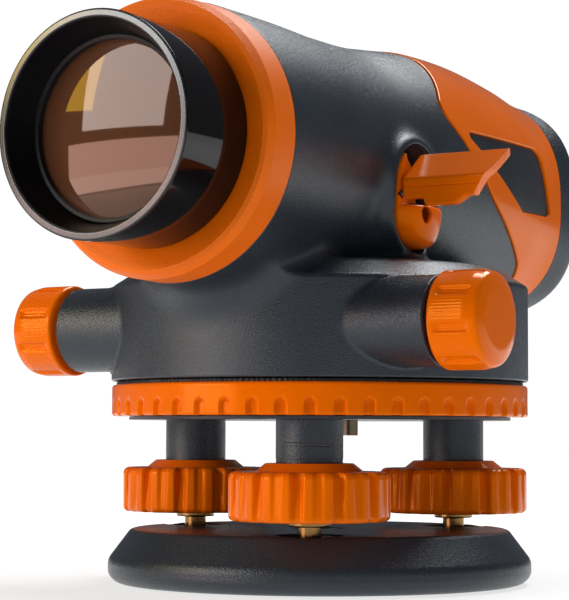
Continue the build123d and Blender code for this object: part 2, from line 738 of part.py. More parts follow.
# ---- write every node ------------------------------------------------------------------------
def solids():
    whole = shell()
    nodes = {
        "base_plate": base_plate(), "spring_plate": spring_plate(),
        "spring_plate_screws": spring_plate_screws(),
        "tribrach": tribrach(), "foot_bushes": foot_bushes(), "vertical_axis": vertical_axis(),
        "axis_screws": axis_screws(), "axis_nut": axis_nut(),
        "circle_ring": circle_ring(), "circle_scale": circle_scale(),
        "worm_wheel": worm_wheel(), "clutch_spring": clutch_spring(),
        "tangent_shaft": tangent_shaft(), "tangent_knob_left": tangent_knob(-1),
        "tangent_knob_right": tangent_knob(1),
        "housing": housing(whole), "rear_cover": rear_cover(whole), "label_panels": label_panels(),
        "end_cap": end_cap(), "cap_screws": cap_screws(),
        "bearing_plate": bearing_plate(), "bearing_screws": bearing_screws(),
        "shaft_bushes": shaft_bushes(),
        "front_ring": front_ring(), "objective_barrel": objective_barrel(),
        "objective_retainer": objective_retainer(), "objective_crown": objective_crown(),
        "objective_flint": objective_flint(),
        "focus_guide": focus_guide(), "focus_cell": focus_cell(), "focus_lens": focus_lens(),
        "focus_pinion": focus_pinion(), "focus_knob": focus_knob(),
        "compensator_frame": compensator_frame(), "pendulum": pendulum(),
        "pendulum_prism": pendulum_prism(), "suspension_wires": suspension_wires(),
        "damper_magnets": damper_magnets(), "roof_prism": roof_prism(),
        "reticle_holder": reticle_holder(), "reticle": reticle(),
        "eyepiece_tube": eyepiece_tube(), "eyepiece_cell": eyepiece_cell(),
        "eyepiece_lenses": eyepiece_lenses(), "dioptre_ring": dioptre_ring(), "eyecup": eyecup(),
        "mirror_bracket": mirror_bracket(), "circular_vial": circular_vial(), "mirror_pin": mirror_pin(),
        "mirror_flap": mirror_flap(), "mirror_glass": mirror_glass(),
    }
    for number, angle in enumerate(feet(), 1):
        nodes[f"foot_ball_{number}"] = at(angle, PITCH_CIRCLE, foot_ball())
        nodes[f"foot_screw_{number}"] = at(angle, PITCH_CIRCLE, foot_screw())
        nodes[f"foot_knob_{number}"] = at(angle, PITCH_CIRCLE, foot_knob())
    return nodes


os.makedirs("parts", exist_ok=True)
for name, shape in solids().items():
    pieces = shape if isinstance(shape, list) else [shape]
    node = Compound(children=[solid for piece in pieces for solid in piece.solids()])
    node.label = name
    export_step(node, f"parts/{name}.step")
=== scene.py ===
import json
import math

import bpy
import numpy as np
from mathutils import Matrix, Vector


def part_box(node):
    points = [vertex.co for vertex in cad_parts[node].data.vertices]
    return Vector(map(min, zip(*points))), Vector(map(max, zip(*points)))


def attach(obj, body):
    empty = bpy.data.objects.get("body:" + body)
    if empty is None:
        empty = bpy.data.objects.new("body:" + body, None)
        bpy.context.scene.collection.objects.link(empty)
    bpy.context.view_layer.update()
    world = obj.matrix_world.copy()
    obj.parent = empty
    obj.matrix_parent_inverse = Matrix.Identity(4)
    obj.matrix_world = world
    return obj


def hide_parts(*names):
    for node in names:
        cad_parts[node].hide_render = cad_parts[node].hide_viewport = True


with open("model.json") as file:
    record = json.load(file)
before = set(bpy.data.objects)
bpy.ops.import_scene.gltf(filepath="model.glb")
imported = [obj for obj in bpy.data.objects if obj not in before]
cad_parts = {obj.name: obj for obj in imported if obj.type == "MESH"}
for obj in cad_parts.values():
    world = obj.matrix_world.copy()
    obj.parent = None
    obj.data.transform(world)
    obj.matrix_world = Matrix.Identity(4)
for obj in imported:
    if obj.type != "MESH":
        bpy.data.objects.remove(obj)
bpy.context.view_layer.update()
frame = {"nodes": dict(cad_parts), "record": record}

# Automatic level. Lengths are millimetres in this script and metres in Blender.
MM = 0.001


# ---- places, read from the frame -----------------------------------------------------------------
def low(node):
    return [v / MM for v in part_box(node)[0]]


def high(node):
    return [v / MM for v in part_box(node)[1]]


def middle(node):
    return [(a + b) / 2 for a, b in zip(low(node), high(node))]


AXIS_H = middle("objective_barrel")[2]  # line of sight
TUBE_R = high("front_ring")[0] + 0.1
FRONT_Y = high("front_ring")[1]
SEAM_Y = low("end_cap")[1]
SPIGOT_END = high("end_cap")[1]
CAP_END = SPIGOT_END - 5
SKIRT_R = high("housing")[0]
SKIRT_LOW = low("housing")[2]
KNOB = middle("tangent_knob_right")
KNOB_X = low("tangent_knob_right")[0]
TANGENT_R = 11.1  # tubes round the tangent screw
BOSS = middle("focus_knob")
BOSS_X = high("focus_knob")[0] + 0.6
BRACKET = middle("mirror_bracket")
BRACKET_HALF = high("mirror_bracket")[1] - BRACKET[1]
BRACKET_ARM = high("mirror_bracket")[2] - BRACKET[2] - BRACKET_HALF
FEET = [middle(f"foot_screw_{i}") for i in (1, 2, 3)]
FAR = -50  # a distance that never limits anything


# ---- materials -------------------------------------------------------------------------------------
def socket(node, name, value):
    if name in node.inputs:
        node.inputs[name].default_value = value


CLOUD = 14  # size of the slow change of tone, in mm


def finish(slot, colour, rough, metal=0.0, shade=0.15, grain=0.4, bump=0.1, depth=0.05, spread=0.06,
           stretch=(1, 1, 1), **uniform):
    """Material from two noises: shade varies its tone and spread its gloss, around colour and rough.

    grain is the size of the fine texture in mm, depth its height in mm and bump its strength.
    """
    material = bpy.data.materials.new(slot)
    material.use_nodes = True
    nodes, links = material.node_tree.nodes, material.node_tree.links
    shader = nodes["Principled BSDF"]
    shader.inputs["Metallic"].default_value = metal
    for name, value in uniform.items():
        socket(shader, name.replace("_", " "), value)
    place = nodes.new("ShaderNodeTexCoord")
    mapping = nodes.new("ShaderNodeMapping")
    mapping.inputs["Scale"].default_value = stretch
    links.new(place.outputs["Object"], mapping.inputs["Vector"])

    def noise(size, detail):
        node = nodes.new("ShaderNodeTexNoise")
        node.inputs["Scale"].default_value = 1 / (size * MM)
        node.inputs["Detail"].default_value = detail
        links.new(mapping.outputs["Vector"], node.inputs["Vector"])
        return node.outputs["Fac"]

    cloud, fine = noise(CLOUD, 3), noise(grain, 2)
    blend = nodes.new("ShaderNodeMath")
    blend.operation = "MULTIPLY_ADD"
    links.new(fine, blend.inputs[0])
    blend.inputs[1].default_value = 0.6
    links.new(cloud, blend.inputs[2])
    tint = nodes.new("ShaderNodeValToRGB")
    tint.color_ramp.elements[0].position = 0.5
    tint.color_ramp.elements[1].position = 1.0
    tint.color_ramp.elements[0].color = [c * (1 - shade) for c in colour] + [1]
    tint.color_ramp.elements[1].color = [min(1, c * (1 + shade)) for c in colour] + [1]
    links.new(blend.outputs[0], tint.inputs["Fac"])
    links.new(tint.outputs["Color"], shader.inputs["Base Color"])
    gloss = nodes.new("ShaderNodeMapRange")
    gloss.inputs["From Min"].default_value = 0.3
    gloss.inputs["From Max"].default_value = 0.7
    gloss.inputs["To Min"].default_value = max(0.01, rough - spread)
    gloss.inputs["To Max"].default_value = rough + spread
    links.new(fine, gloss.inputs["Value"])
    links.new(gloss.outputs["Result"], shader.inputs["Roughness"])
    relief = nodes.new("ShaderNodeBump")
    relief.inputs["Strength"].default_value = bump
    relief.inputs["Distance"].default_value = depth * MM
    links.new(fine, relief.inputs["Height"])
    links.new(relief.outputs["Normal"], shader.inputs["Normal"])
    return material


ORANGE = (0.84, 0.145, 0.0)
WARM = (1.0, 0.4, 0.04, 1)  # tint of the orange plastic's gloss
GLASS = {"Transmission_Weight": 1.0, "IOR": 1.5}
MATERIALS = {
    "grey_coat": finish("grey_coat", (0.019, 0.025, 0.033), 0.3, shade=0.16, grain=0.3, bump=1.0, depth=0.11,
                        spread=0.07, Specular_IOR_Level=0.55, Specular_Tint=(0.86, 0.94, 1.0, 1)),
    "spring_steel": finish("spring_steel", (0.5, 0.5, 0.52), 0.35, 1.0, stretch=(1, 30, 1), grain=0.5),
    "screw_steel": finish("screw_steel", (0.4, 0.4, 0.42), 0.3, 1.0, grain=0.3),
    "bronze_screw": finish("bronze_screw", (0.16, 0.125, 0.09), 0.34, 1.0, grain=0.35, bump=0.2),
    "brass": finish("brass", (0.32, 0.18, 0.065), 0.22, 1.0, grain=0.3, bump=0.05, depth=0.02),
    "bronze": finish("bronze", (0.55, 0.33, 0.14), 0.32, 1.0, grain=0.4),
    "ground_steel": finish("ground_steel", (0.56, 0.56, 0.58), 0.22, 1.0, stretch=(30, 1, 1), grain=0.8),
    "aluminium": finish("aluminium", (0.7, 0.71, 0.73), 0.32, 1.0, grain=0.4),
    "magnet": finish("magnet", (0.33, 0.33, 0.35), 0.25, 1.0, grain=0.4),
    "lip_black": finish("lip_black", (0.012, 0.013, 0.014), 0.24, shade=0.3, spread=0.03, bump=0.05,
                        Specular_IOR_Level=1.0),
    "hood_black": finish("hood_black", (0.003, 0.003, 0.004), 0.34, shade=0.2, bump=0.2,
                         Specular_IOR_Level=0.12),
    "orange_plastic": finish("orange_plastic", ORANGE, 0.17, shade=0.05, grain=0.35, bump=0.12, depth=0.03,
                             Specular_IOR_Level=0.5, Specular_Tint=WARM),
    "orange_textured": finish("orange_textured", ORANGE, 0.42, shade=0.07, grain=0.42, bump=0.9, depth=0.1,
                              Specular_IOR_Level=0.36, Specular_Tint=(1.0, 0.7, 0.42, 1)),
    "gloss_black": finish("gloss_black", (0.004, 0.003, 0.003), 0.06, shade=0.2, spread=0.015, bump=0.01,
                          Specular_IOR_Level=0.3),
    "black_anodised": finish("black_anodised", (0.007, 0.008, 0.009), 0.36, grain=0.3, bump=0.15,
                             Specular_IOR_Level=0.3),
    "black_plastic": finish("black_plastic", (0.007, 0.007, 0.008), 0.42, grain=0.4, bump=0.3,
                            Specular_IOR_Level=0.22),
    "label_plate": finish("label_plate", (0.012, 0.016, 0.022), 0.4, shade=0.4, grain=0.4, bump=0.5,
                          depth=0.1),
    "rubber": finish("rubber", (0.011, 0.011, 0.012), 0.62, grain=0.5, bump=0.35),
    "coated_glass": finish("coated_glass", (0.085, 0.032, 0.014), 0.03, shade=0.1, spread=0.008, bump=0.0,
                           Specular_IOR_Level=0.5, IOR=1.5, Specular_Tint=(1.0, 0.8, 0.72, 1)),
    "clear_glass": finish("clear_glass", (0.9, 0.94, 0.96), 0.03, spread=0.01, bump=0.0, **GLASS),
    "vial_glass": finish("vial_glass", (0.72, 0.85, 0.42), 0.04, spread=0.01, bump=0.0, **GLASS),
    "mirror": finish("mirror", (0.85, 0.87, 0.9), 0.03, 1.0, shade=0.02, spread=0.01, bump=0.0),
}


def dress_frame():
    """Gives every carried-over node the material of its slot."""
    for part in frame["record"]["subparts"]:
        thing = frame["nodes"][part["node"]]
        thing.data.materials.clear()
        thing.data.materials.append(MATERIALS[part["material_slot"]])


dress_frame()


# ---- meshes ----------------------------------------------------------------------------------------
def piece(name, points, faces, body, slot, replaced=(), normals=None):
    """Adds a mesh from millimetre points, hangs it on its body and hides the nodes it replaces; slot names
    its material.
    """
    mesh = bpy.data.meshes.new(name)
    mesh.from_pydata((np.asarray(points, float) * MM).tolist(), [], [list(f) for f in faces])
    mesh.update()
    mesh.polygons.foreach_set("use_smooth", [True] * len(mesh.polygons))
    if normals is not None:
        mesh.normals_split_custom_set_from_vertices(np.asarray(normals, float).tolist())
    thing = bpy.data.objects.new(name, mesh)
    bpy.context.scene.collection.objects.link(thing)
    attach(thing, body)
    if replaced:
        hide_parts(*replaced)
    thing.data.materials.append(MATERIALS[slot])
    return thing


def rounded(corners, radii, step=15):
    """Closed outline with an arc of the given radius at each corner."""
    points = []
    count = len(corners)
    for i, radius in enumerate(radii):
        here = np.array(corners[i], float)
        back = np.array(corners[i - 1], float) - here
        on = np.array(corners[(i + 1) % count], float) - here
        back /= np.linalg.norm(back)
        on /= np.linalg.norm(on)
        if radius <= 0:
            points.append(here)
            continue
        half = math.acos(np.clip(back @ on, -1, 1)) / 2
        centre = here + (back + on) / np.linalg.norm(back + on) * radius / math.sin(half)
        first = here + back * radius / math.tan(half) - centre
        last = here + on * radius / math.tan(half) - centre
        turn = math.atan2(first[0] * last[1] - first[1] * last[0], first @ last)
        steps = max(2, int(abs(math.degrees(turn)) / step) + 1)
        for k in range(steps + 1):
            a = turn * k / steps
            c, s = math.cos(a), math.sin(a)
            points.append(centre + np.array([first[0] * c - first[1] * s, first[0] * s + first[1] * c]))
    return np.array(points)


def outline_distance(u, v, outline):
    """Signed distance in a plane, negative inside a closed outline."""
    nearest = np.full(u.shape, 1e9)
    inside = np.zeros(u.shape, bool)
    for (au, av), (bu, bv) in zip(outline, np.roll(outline, -1, axis=0)):
        du, dv = bu - au, bv - av
        share = np.clip(((u - au) * du + (v - av) * dv) / (du * du + dv * dv + 1e-12), 0, 1)
        nearest = np.minimum(nearest, (u - au - share * du) ** 2 + (v - av - share * dv) ** 2)
        if av != bv:
            inside ^= ((av > v) != (bv > v)) & (u < au + (v - av) * du / dv)
    distance = np.sqrt(nearest)
    return np.where(inside, -distance, distance)


# ---- body form, as a distance field --------------------------------------------------------------
def joined(a, b, soft):
    """Union of two distances with a fillet of about the given size."""
    h = np.clip(0.5 + 0.5 * (b - a) / soft, 0, 1)
    return b + (a - b) * h - soft * h * (1 - h)


def common(a, b, soft):
    """Intersection of two distances with a rounded edge."""
    return -joined(-a, -b, soft)


def ramp(value, start, end):
    """Smooth step from 0 at start to 1 at end."""
    t = np.clip((value - start) / (end - start), 0, 1)
    return t * t * (3 - 2 * t)


# Along the tube: y, half width, crown and belly from the centre, centre height, squareness
STATIONS = np.array([
    (FRONT_Y - 9, TUBE_R, TUBE_R, TUBE_R, AXIS_H, 2.0),
    (-45, TUBE_R, TUBE_R, TUBE_R, AXIS_H, 2.0),
    (-24, TUBE_R, TUBE_R - 0.7, TUBE_R, AXIS_H, 2.0),
    (-9, 34.4, 33.2, TUBE_R, AXIS_H - 0.1, 2.03),
    (8, 35.8, 35.0, TUBE_R, AXIS_H - 0.3, 2.08),
    (24, 36.8, 36.8, TUBE_R, AXIS_H - 0.6, 2.12),
    (38, 37.2, 37.2, 33.6, AXIS_H - 1.2, 2.2),
    (56, 37.3, 36.0, 33.0, AXIS_H - 2.4, 2.34),
    (SEAM_Y, 37.2, 34.0, 32.0, AXIS_H - 3.8, 2.5),
    (SEAM_Y + 8, 37.9, 33.6, 31.5, AXIS_H - 4.2, 2.75),
    (CAP_END + 6, 38.0, 33.2, 31.0, AXIS_H - 4.4, 2.8),
])


def along(y, column):
    """Station value at y, through the stations with a smooth slope."""
    at = STATIONS[:, 0]
    values = STATIONS[:, column]
    slopes = np.gradient(values, at)
    i = np.clip(np.searchsorted(at, y) - 1, 0, len(at) - 2)
    width = at[i + 1] - at[i]
    t = np.clip((y - at[i]) / width, 0, 1)
    return (
        values[i] * (1 + 2 * t) * (1 - t) ** 2 + slopes[i] * width * t * (1 - t) ** 2
        + values[i + 1] * t * t * (3 - 2 * t) + slopes[i + 1] * width * t * t * (t - 1)
    )


def barrel(x, y, z):
    """Distance to the telescope's body, whose section follows the stations."""
    rise = z - along(y, 4)
    height = np.where(rise > 0, along(y, 2), along(y, 3))
    power = along(y, 5)
    reach = np.maximum(
        ((np.abs(x) / along(y, 1)) ** power + (np.abs(rise) / height) ** power) ** (1 / power), 1e-3
    )
    radius = np.sqrt(x * x + rise * rise)
    return radius - radius / reach


DRUM_RISE = 29.6  # drum, from the skirt's lower edge to its top
BEVEL_RISE = 24.8  # and to where its bevel starts
BEVEL = (4.6, 7.2)  # the bevel's rise and its run
FOCUS_BOSS_R = 17
SPIGOT_R = 18
RIB = (1.3, 5, 13, 35.4)  # half width, y, half length and height over the line of sight
PAD_X = 35.4  # face of the raised pad round the vial bracket


def body_form(x, y, z):
    """Telescope tube, lower drum, tangent tubes, focusing boss, vial boss and the cap's taper."""
    tube = barrel(x, y, z)
    taper = (tube + 1.5 * (y - SEAM_Y - 10)) / 1.8
    tube = common(tube, taper, 1.6)
    around = np.sqrt(x * x + y * y)
    bevel_up, bevel_in = BEVEL
    bevel = (around - SKIRT_R) * bevel_up + (z - SKIRT_LOW - BEVEL_RISE) * bevel_in
    drum = common(around - SKIRT_R, bevel / math.hypot(*BEVEL), 0.7)
    drum = common(drum, z - SKIRT_LOW - DRUM_RISE, 1.2)
    throat = ramp(-y, 18, 46) * np.exp(-((x / 30) ** 2))
    whole = joined(tube, drum, 2 + 9 * throat)
    arm = np.sqrt((y - KNOB[1]) ** 2 + (z - KNOB[2]) ** 2) - TANGENT_R
    whole = joined(whole, arm, 0.6)
    boss = np.sqrt((y - BOSS[1]) ** 2 + (z - BOSS[2]) ** 2) - FOCUS_BOSS_R
    boss = np.maximum(boss, x + 20)
    whole = joined(whole, boss, 5)
    ring = vial_outline(y, z) - 1.6
    lift = common(np.maximum(ring, -x), x - PAD_X, 1.5)
    whole = joined(whole, lift, 6)
    rib_half, rib_y, rib_reach, rib_rise = RIB
    rib = np.maximum(np.abs(x) - rib_half, np.abs(y - rib_y) - rib_reach)
    rib = np.maximum(rib, z - AXIS_H - rib_rise)
    whole = joined(whole, np.maximum(rib, AXIS_H - z), 1.5)
    end = y - CAP_END + 0.02
    whole = common(whole, end, 1.5)
    spigot = np.maximum(np.sqrt(x * x + (z - AXIS_H) ** 2) - SPIGOT_R, y - SPIGOT_END + 0.02)
    return joined(whole, spigot, 1.5)


def vial_outline(y, z):
    """Distance to the upright oval of the vial bracket."""
    rise = np.maximum(np.abs(z - BRACKET[2]) - BRACKET_ARM, 0)
    return np.sqrt((y - BRACKET[1]) ** 2 + rise ** 2) - BRACKET_HALF


# ---- skin of the body --------------------------------------------------------------------------------
STEP = 0.85  # cells of the net
WALL = 2.6


def slope(field, p, reach=0.04):
    """Gradient of a field at an array of points."""
    columns = []
    for axis in range(3):
        ahead, behind = p.copy(), p.copy()
        ahead[:, axis] += reach
        behind[:, axis] -= reach
        columns.append((field(*ahead.T) - field(*behind.T)) / (2 * reach))
    return np.stack(columns, 1)


def unit(v):
    """Vectors scaled to length 1."""
    return v / np.maximum(np.linalg.norm(v, axis=1, keepdims=True), 1e-9)


def settle(form, p, rounds=3):
    """Moves points onto a form's surface."""
    for _ in range(rounds):
        g = slope(form, p)
        p = p - g * (form(*p.T) / np.maximum((g * g).sum(1), 0.05))[:, None]
    return p


def net(form, bounds, step, rounds=3):
    """Surface net of a form inside bounds: points and triangles that face outwards."""
    axes = [np.arange(a, b, step) for a, b in bounds]
    inside = form(*np.meshgrid(*axes, indexing="ij")) < 0
    corners = sum(
        inside[i:i + inside.shape[0] - 1, j:j + inside.shape[1] - 1, k:k + inside.shape[2] - 1].astype(int)
        for i in (0, 1) for j in (0, 1) for k in (0, 1)
    )
    mixed = (corners > 0) & (corners < 8)
    index = np.full(mixed.shape, -1)
    cells = np.argwhere(mixed)
    index[mixed] = np.arange(len(cells))
    points = np.stack([axes[a][cells[:, a]] + step / 2 for a in range(3)], 1)
    quads = []
    for axis in range(3):
        one, two = (axis + 1) % 3, (axis + 2) % 3
        start = np.take(inside, range(inside.shape[axis] - 1), axis)
        end = np.take(inside, range(1, inside.shape[axis]), axis)
        at = np.argwhere(start != end)
        within = (at[:, one] > 0) & (at[:, one] < mixed.shape[one])
        within &= (at[:, two] > 0) & (at[:, two] < mixed.shape[two])
        at = at[within]
        ring = []
        for a, b in ((-1, -1), (0, -1), (0, 0), (-1, 0)):
            cell = at.copy()
            cell[:, one] += a
            cell[:, two] += b
            ring.append(index[tuple(cell.T)])
        ring = np.stack(ring, 1)
        outward = start[tuple(at.T)]
        ring[~outward] = ring[~outward][:, ::-1]
        quads.append(ring)
    quads = np.concatenate(quads)
    points = settle(form, points)
    edges = np.concatenate([quads[:, [0, 1]], quads[:, [1, 2]], quads[:, [2, 3]], quads[:, [3, 0]]])
    for _ in range(rounds):
        total = np.zeros_like(points)
        share = np.zeros(len(points))
        for a, b in ((0, 1), (1, 0)):
            np.add.at(total, edges[:, a], points[edges[:, b]])
            np.add.at(share, edges[:, a], 1)
        points = settle(form, 0.4 * points + 0.6 * total / share[:, None], 2)
    return points, np.concatenate([quads[:, [0, 1, 2]], quads[:, [0, 2, 3]]])


def cast(name, form, bounds, step, body, slot, replaced=()):
    """A closed piece from a form, shaded by the form's own slope."""
    points, tris = net(form, bounds, step, 2)
    piece(name, points, tris.tolist(), body, slot, replaced, unit(slope(form, points)))


def split(points, tris, value):
    """Cuts the triangles along value = 0 and gives the new points, triangles and values."""
    sign = np.sign(value[tris])
    crossed = (sign.min(1) < 0) & (sign.max(1) > 0)
    kept, cut = tris[~crossed], tris[crossed]
    edges = np.sort(np.concatenate([cut[:, [0, 1]], cut[:, [1, 2]], cut[:, [2, 0]]]), 1)
    edges = np.unique(edges[value[edges[:, 0]] * value[edges[:, 1]] < 0], axis=0)
    share = value[edges[:, 0]] / (value[edges[:, 0]] - value[edges[:, 1]])
    fresh = points[edges[:, 0]] + (points[edges[:, 1]] - points[edges[:, 0]]) * share[:, None]
    key = edges[:, 0] * (len(points) + 1) + edges[:, 1]

    def between(a, b):
        pair = np.minimum(a, b) * (len(points) + 1) + np.maximum(a, b)
        return np.searchsorted(key, pair) + len(points)

    sign = np.sign(value[cut])
    result = [kept]
    for turn in range(3):
        a, b, c = (np.roll(cut, -turn, 1)[:, i] for i in range(3))
        sa, sb, sc = (np.roll(sign, -turn, 1)[:, i] for i in range(3))
        lone = (sb == sc) & (sa == -sb) & (sa != 0)
        a1, b1, c1 = a[lone], b[lone], c[lone]
        ab, ac = between(a1, b1), between(a1, c1)
        result += [np.stack(t, 1) for t in ((a1, ab, ac), (ab, b1, c1), (ab, c1, ac))]
        level = (sa == 0) & (sb == -sc) & (sb != 0)
        a2, b2, c2 = a[level], b[level], c[level]
        bc = between(b2, c2)
        result += [np.stack(t, 1) for t in ((a2, b2, bc), (a2, bc, c2))]
    points, value = np.concatenate([points, fresh]), np.concatenate([value, np.zeros(len(fresh))])
    return points, np.concatenate(result), value


def compact(points, tris, *rest):
    """Drops the points that no triangle uses."""
    used, tris = np.unique(tris, return_inverse=True)
    return (points[used], tris.reshape(-1, 3)) + tuple(r[used] for r in rest)


def edge_field(field, points):
    """Each point's distance from field = 0 along the skin, its direction across that edge and its normal."""
    normal = unit(slope(body_form, points))
    g = slope(field, points)
    g -= normal * (g * normal).sum(1, keepdims=True)
    size = np.maximum(np.linalg.norm(g, axis=1), 0.25)
    return field(*points.T) / size, g / size[:, None], normal


RIM_SHARES = (0.134, 0.5, 1.0)  # rows of points across a rounded rim


def shell(name, skin, field, slot, replaced=(), radius=0.45, lift=0.0, wall=WALL):
    """Piece of the skin where field < 0, as a solid wall with a rounded rim."""
    points, tris = skin
    value = field(*points.T)
    near = np.zeros(len(points), bool)
    near[tris[(value[tris].min(1) < 3 * STEP)].ravel()] = True
    tris = tris[near[tris].all(1)]
    points, tris, value = compact(points, tris, value)
    for _ in range(2):
        value, direction, _normal = edge_field(field, points)
        close = np.abs(value) < 0.3 * STEP
        points[close] -= direction[close] * value[close][:, None]
        points[close] = settle(body_form, points[close], 2)
    value = edge_field(field, points)[0]
    value[close & (np.abs(value) < 0.06 * STEP)] = 0
    points, tris, value = split(points, tris, value)
    tris = tris[value[tris].max(1) <= 1e-9]
    points, tris, value = compact(points, tris, value)
    points = settle(body_form, points, 1)
    for share in RIM_SHARES:
        value = edge_field(field, points)[0]
        value[value > -0.02] = np.minimum(value[value > -0.02], 0)
        points, tris, _ = split(points, tris, value + share * radius)
    points, tris = compact(points, tris)
    value, direction, normal = edge_field(field, points)
    tilt = np.clip((radius + value) / radius, 0, 1)
    sink = radius - np.sqrt(np.maximum(radius ** 2 - (radius * tilt) ** 2, 0))
    outer = points + normal * (lift - sink)[:, None]
    outer_normal = unit(normal * np.sqrt(1 - tilt ** 2)[:, None] + unit(direction) * tilt[:, None])
    inner = points + normal * (lift - wall)
    count = len(points)
    edges = np.concatenate([tris[:, [0, 1]], tris[:, [1, 2]], tris[:, [2, 0]]])
    code = edges[:, 0] * count + edges[:, 1]
    open_edges = edges[~np.isin(code, edges[:, 1] * count + edges[:, 0])]
    faces = tris.tolist() + (tris[:, ::-1] + count).tolist()
    faces += [(b, a, a + count, b + count) for a, b in open_edges.tolist()]
    rim = np.unique(open_edges)
    inner_normal = -normal
    inner_normal[rim] = outer_normal[rim]
    return piece(name, np.concatenate([outer, inner]), faces, "alidade", slot, replaced,
                 np.concatenate([outer_normal, inner_normal]))


# ---- housing, rear cover, end cap and label panels -----------------------------------------------
SEAM = 0.12  # half the gap between two castings
COVER_BOSS_R = 20.5  # what the cover and the label plate leave free round the focusing boss
LABEL_BOSS_R = 20.9
LABEL_GAP = 0.14
COVER = rounded(
    [(26, 170), (23.6, 144.5), (7, 124.5), (30, 102.5), (55.5, 86.5), (60.5, 78.5), (120, 78.5), (120, 170)],
    (0, 14, 4.5, 40, 9, 2, 0, 0),
)
LABEL = rounded([(15.5, 119.8), (61.5, 119.8), (67, 100.8), (48.4, 100.8)], (1.2, 4, 2, 3))


def cover_edge(x, y, z):
    """Chevron edge of the orange cover, which also leaves the focusing boss free."""
    boss = np.where(x < 0, COVER_BOSS_R - np.sqrt((y - BOSS[1]) ** 2 + (z - BOSS[2]) ** 2), FAR)
    return np.maximum(outline_distance(y, z, COVER), boss)


def housing_edge(x, y, z):
    """Open ends of the dark casting: skirt, front, cover, tangent tubes, focusing boss and vial bracket."""
    limits = (
        SKIRT_LOW + 0.02 - z, FRONT_Y - y, SEAM - cover_edge(x, y, z), y - SEAM_Y + SEAM,
        np.where((z < AXIS_H - 20) & (y < KNOB[1] + 14), np.abs(x) - KNOB_X + 0.3, FAR),
        np.where((z > AXIS_H - 20) & (x < 0), BOSS_X - x, FAR),
        np.where(x > 0, 0.9 - vial_outline(y, z), FAR),
    )
    return np.maximum.reduce(limits)


def rear_cover_edge(x, y, z):
    """The orange cover, with the label's opening in it."""
    return np.maximum.reduce((
        cover_edge(x, y, z) + SEAM, y - SEAM_Y + SEAM, -outline_distance(y, z, LABEL),
    ))


EYE_HOLE_R = 13.4


def end_cap_edge(x, y, z):
    """The dark cap behind the seam, with the eyepiece's hole."""
    eye = EYE_HOLE_R - np.sqrt(x * x + (z - AXIS_H) ** 2)
    return np.maximum(SEAM_Y + SEAM - y, np.where(y > CAP_END - 3, eye, FAR))


def label_edge(side):
    """Edge of the label plate on one side; the left one leaves the focusing boss free."""
    def edge(x, y, z):
        from_boss = np.sqrt((y - BOSS[1]) ** 2 + (z - BOSS[2]) ** 2)
        boss = np.where(side < 0, LABEL_BOSS_R - from_boss, FAR)
        return np.maximum.reduce((outline_distance(y, z, LABEL) + LABEL_GAP, -side * x, boss))
    return edge


skin = net(
    body_form, ((-62, 62), (FRONT_Y - 4, SPIGOT_END + 3), (SKIRT_LOW - 3, AXIS_H + 40)), STEP
)
shell("body_casting", skin, housing_edge, "grey_coat", ["housing"])
shell("rear_shell", skin, rear_cover_edge, "orange_plastic", ["rear_cover"], lift=0.3)
shell("rear_cap", skin, end_cap_edge, "grey_coat", ["end_cap"], radius=0.6, lift=-0.1)
plates = [
    shell(f"label_plate_{word}", skin, label_edge(side), "label_plate", radius=0.2, lift=-0.45, wall=1.2)
    for side, word in ((1, "right"), (-1, "left"))
]
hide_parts("label_panels")


# ---- turned and swept pieces ---------------------------------------------------------------------
def supported(outline, gap=0.25):
    """Adds points beside the arcs, so that flat stretches shade flat."""
    points = []
    for a, b in zip(outline, np.roll(outline, -1, axis=0)):
        points.append(a)
        length = np.linalg.norm(b - a)
        if length > 4 * gap:
            points += [a + (b - a) * gap / length, b + (a - b) * gap / length]
    return np.array(points)


def dense(outline, most):
    """Divides long stretches of an outline."""
    points = []
    for a, b in zip(outline, np.roll(outline, -1, axis=0)):
        count = max(1, int(np.ceil(np.linalg.norm(b - a) / most)))
        points += [a + (b - a) * k / count for k in range(count)]
    return np.array(points)


def ring_faces(around, across):
    """Four-sided faces over a grid that closes in both directions."""
    faces = []
    for i in range(around):
        for j in range(across):
            k, m = (i + 1) % around, (j + 1) % across
            faces.append((i * across + j, k * across + j, k * across + m, i * across + m))
    return faces


def lathe(name, section, steps, relief, place, body, slot, replaced=()):
    """Turns a closed (radius, height) section.

    relief(angle, radius, height) is cut inwards, and place maps the turned points to the frame.
    """
    angle = np.repeat(np.arange(steps) * 2 * math.pi / steps, len(section))
    radius = np.tile(section[:, 0], steps)
    height = np.tile(section[:, 1], steps)
    cut = radius - relief(angle, radius, height)
    points = place(cut * np.cos(angle), cut * np.sin(angle), height)
    piece(name, np.stack(points, 1), ring_faces(steps, len(section)), body, slot, replaced)


def upright(u, v, w):
    """Leaves a turned piece standing on the vertical axis."""
    return u, v, w


def standing(x, y):
    """Placement of a turned piece that stands on (x, y)."""
    return lambda u, v, w: (x + u, y + v, w)


def along_sight(u, v, w):
    """Places a turned piece on the line of sight, with its height along +Y."""
    return v, w, u + AXIS_H


def plain(angle, radius, height):
    """Relief of a piece that has none."""
    return 0 * angle


def flute(angle, first, count, half):
    """1 in the middle of each of count flutes, falling to 0 at half degrees away."""
    step = 360 / count
    off = np.abs((np.degrees(angle) - first + step / 2) % step - step / 2)
    return 1 - ramp(off, half * 0.35, half * 0.9)


